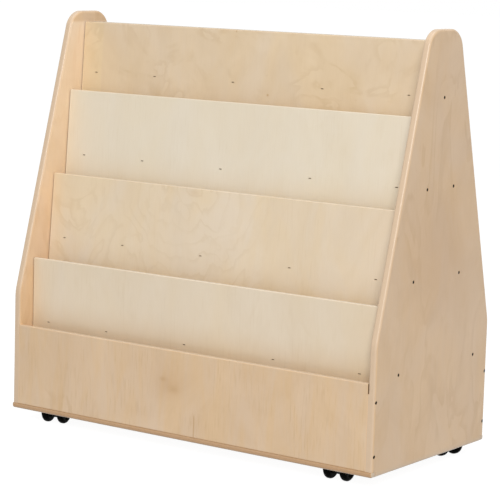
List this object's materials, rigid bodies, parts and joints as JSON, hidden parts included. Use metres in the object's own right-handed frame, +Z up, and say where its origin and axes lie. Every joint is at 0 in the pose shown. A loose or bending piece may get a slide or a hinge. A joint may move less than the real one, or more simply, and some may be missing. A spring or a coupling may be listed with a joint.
{
  "type": "book display cart",
  "caption": "Double-sided plywood book display cart with stepped face-out pockets between A-shaped side panels, on recessed swivelling twin-wheel casters.",
  "frame": {"origin": "on the floor, below the middle of the cart", "axes": "+X along the cart's length, -Y to the front, +Z up"},
  "size_m": [0.917, 0.434, 0.877],
  "materials": {
    "side_ply": "clear satin lacquer on birch plywood",
    "base_ply": "clear satin lacquer on birch plywood",
    "tier_ply": "clear satin lacquer on pale birch plywood",
    "inner_ply": "clear lacquer on plywood",
    "trim_ply": "clear lacquer on plywood edge",
    "screw_steel": "dark sunk screw",
    "staple_steel": "bright staple wire",
    "zinc_plate": "zinc plated",
    "axle_steel": "plain turned steel",
    "hood_plastic": "black moulded nylon",
    "wheel_plastic": "black moulded nylon",
    "washer_nylon": "natural nylon"
  },
  "bodies": {
    "cart": {"left_side_panel": "side_ply", "right_side_panel": "side_ply", "front_base_panel": "base_ply", "rear_base_panel": "base_ply", "bottom_deck": "inner_ply", "top_stretcher": "inner_ply", "front_trim": "trim_ply", "rear_trim": "trim_ply", "left_trim": "trim_ply", "right_trim": "trim_ply", "front_tier_panel_1": "tier_ply", "front_tier_panel_2": "tier_ply", "front_tier_panel_3": "tier_ply", "front_tier_panel_4": "tier_ply", "front_ledge_1": "inner_ply", "front_ledge_2": "inner_ply", "front_ledge_3": "inner_ply", "rear_tier_panel_1": "tier_ply", "rear_tier_panel_2": "tier_ply", "rear_tier_panel_3": "tier_ply", "rear_tier_panel_4": "tier_ply", "rear_ledge_1": "inner_ply", "rear_ledge_2": "inner_ply", "rear_ledge_3": "inner_ply", "front_left_caster_plate": "zinc_plate", "front_left_caster_kingpin": "axle_steel", "front_left_caster_washer": "washer_nylon", "front_right_caster_plate": "zinc_plate", "front_right_caster_kingpin": "axle_steel", "front_right_caster_washer": "washer_nylon", "rear_right_caster_plate": "zinc_plate", "rear_right_caster_kingpin": "axle_steel", "rear_right_caster_washer": "washer_nylon", "rear_left_caster_plate": "zinc_plate", "rear_left_caster_kingpin": "axle_steel", "rear_left_caster_washer": "washer_nylon"},
    "front_left_caster_swivel": {"front_left_caster_hood": "hood_plastic", "front_left_caster_axle": "axle_steel"},
    "front_left_caster_wheel_left": {"front_left_caster_wheel_left": "wheel_plastic"},
    "front_left_caster_wheel_right": {"front_left_caster_wheel_right": "wheel_plastic"},
    "front_right_caster_swivel": {"front_right_caster_hood": "hood_plastic", "front_right_caster_axle": "axle_steel"},
    "front_right_caster_wheel_left": {"front_right_caster_wheel_left": "wheel_plastic"},
    "front_right_caster_wheel_right": {"front_right_caster_wheel_right": "wheel_plastic"},
    "rear_right_caster_swivel": {"rear_right_caster_hood": "hood_plastic", "rear_right_caster_axle": "axle_steel"},
    "rear_right_caster_wheel_left": {"rear_right_caster_wheel_left": "wheel_plastic"},
    "rear_right_caster_wheel_right": {"rear_right_caster_wheel_right": "wheel_plastic"},
    "rear_left_caster_swivel": {"rear_left_caster_hood": "hood_plastic", "rear_left_caster_axle": "axle_steel"},
    "rear_left_caster_wheel_left": {"rear_left_caster_wheel_left": "wheel_plastic"},
    "rear_left_caster_wheel_right": {"rear_left_caster_wheel_right": "wheel_plastic"}
  },
  "joints": [
    {"name": "front_left_caster_swivel_turn", "type": "hinge", "parent": "cart", "child": "front_left_caster_swivel", "pos_m": [-0.37462, -0.15462, 0.05519], "axis": [0, 0, 1], "continuous": true},
    {"name": "front_left_caster_wheel_left_roll", "type": "hinge", "parent": "front_left_caster_swivel", "child": "front_left_caster_wheel_left", "pos_m": [-0.37057, -0.17216, 0.02469], "axis": [0.9744, 0.225, 0], "continuous": true},
    {"name": "front_left_caster_wheel_right_roll", "type": "hinge", "parent": "front_left_caster_swivel", "child": "front_left_caster_wheel_right", "pos_m": [-0.37057, -0.17216, 0.02469], "axis": [0.9744, 0.225, 0], "continuous": true},
    {"name": "front_right_caster_swivel_turn", "type": "hinge", "parent": "cart", "child": "front_right_caster_swivel", "pos_m": [0.35442, -0.15462, 0.05519], "axis": [0, 0, 1], "continuous": true},
    {"name": "front_right_caster_wheel_left_roll", "type": "hinge", "parent": "front_right_caster_swivel", "child": "front_right_caster_wheel_left", "pos_m": [0.35567, -0.17257, 0.02469], "axis": [0.9976, 0.0698, 0], "continuous": true},
    {"name": "front_right_caster_wheel_right_roll", "type": "hinge", "parent": "front_right_caster_swivel", "child": "front_right_caster_wheel_right", "pos_m": [0.35567, -0.17257, 0.02469], "axis": [0.9976, 0.0698, 0], "continuous": true},
    {"name": "rear_right_caster_swivel_turn", "type": "hinge", "parent": "cart", "child": "rear_right_caster_swivel", "pos_m": [0.39212, 0.15462, 0.05519], "axis": [0, 0, 1], "continuous": true},
    {"name": "rear_right_caster_wheel_left_roll", "type": "hinge", "parent": "rear_right_caster_swivel", "child": "rear_right_caster_wheel_left", "pos_m": [0.40933, 0.14935, 0.02469], "axis": [0.2924, 0.9563, 0], "continuous": true},
    {"name": "rear_right_caster_wheel_right_roll", "type": "hinge", "parent": "rear_right_caster_swivel", "child": "rear_right_caster_wheel_right", "pos_m": [0.40933, 0.14935, 0.02469], "axis": [0.2924, 0.9563, 0], "continuous": true},
    {"name": "rear_left_caster_swivel_turn", "type": "hinge", "parent": "cart", "child": "rear_left_caster_swivel", "pos_m": [-0.39212, 0.15462, 0.05519], "axis": [0, 0, 1], "continuous": true},
    {"name": "rear_left_caster_wheel_left_roll", "type": "hinge", "parent": "rear_left_caster_swivel", "child": "rear_left_caster_wheel_left", "pos_m": [-0.38055, 0.14083, 0.02469], "axis": [0.766, 0.6428, 0], "continuous": true},
    {"name": "rear_left_caster_wheel_right_roll", "type": "hinge", "parent": "rear_left_caster_swivel", "child": "rear_left_caster_wheel_right", "pos_m": [-0.38055, 0.14083, 0.02469], "axis": [0.766, 0.6428, 0], "continuous": true}
  ]
}
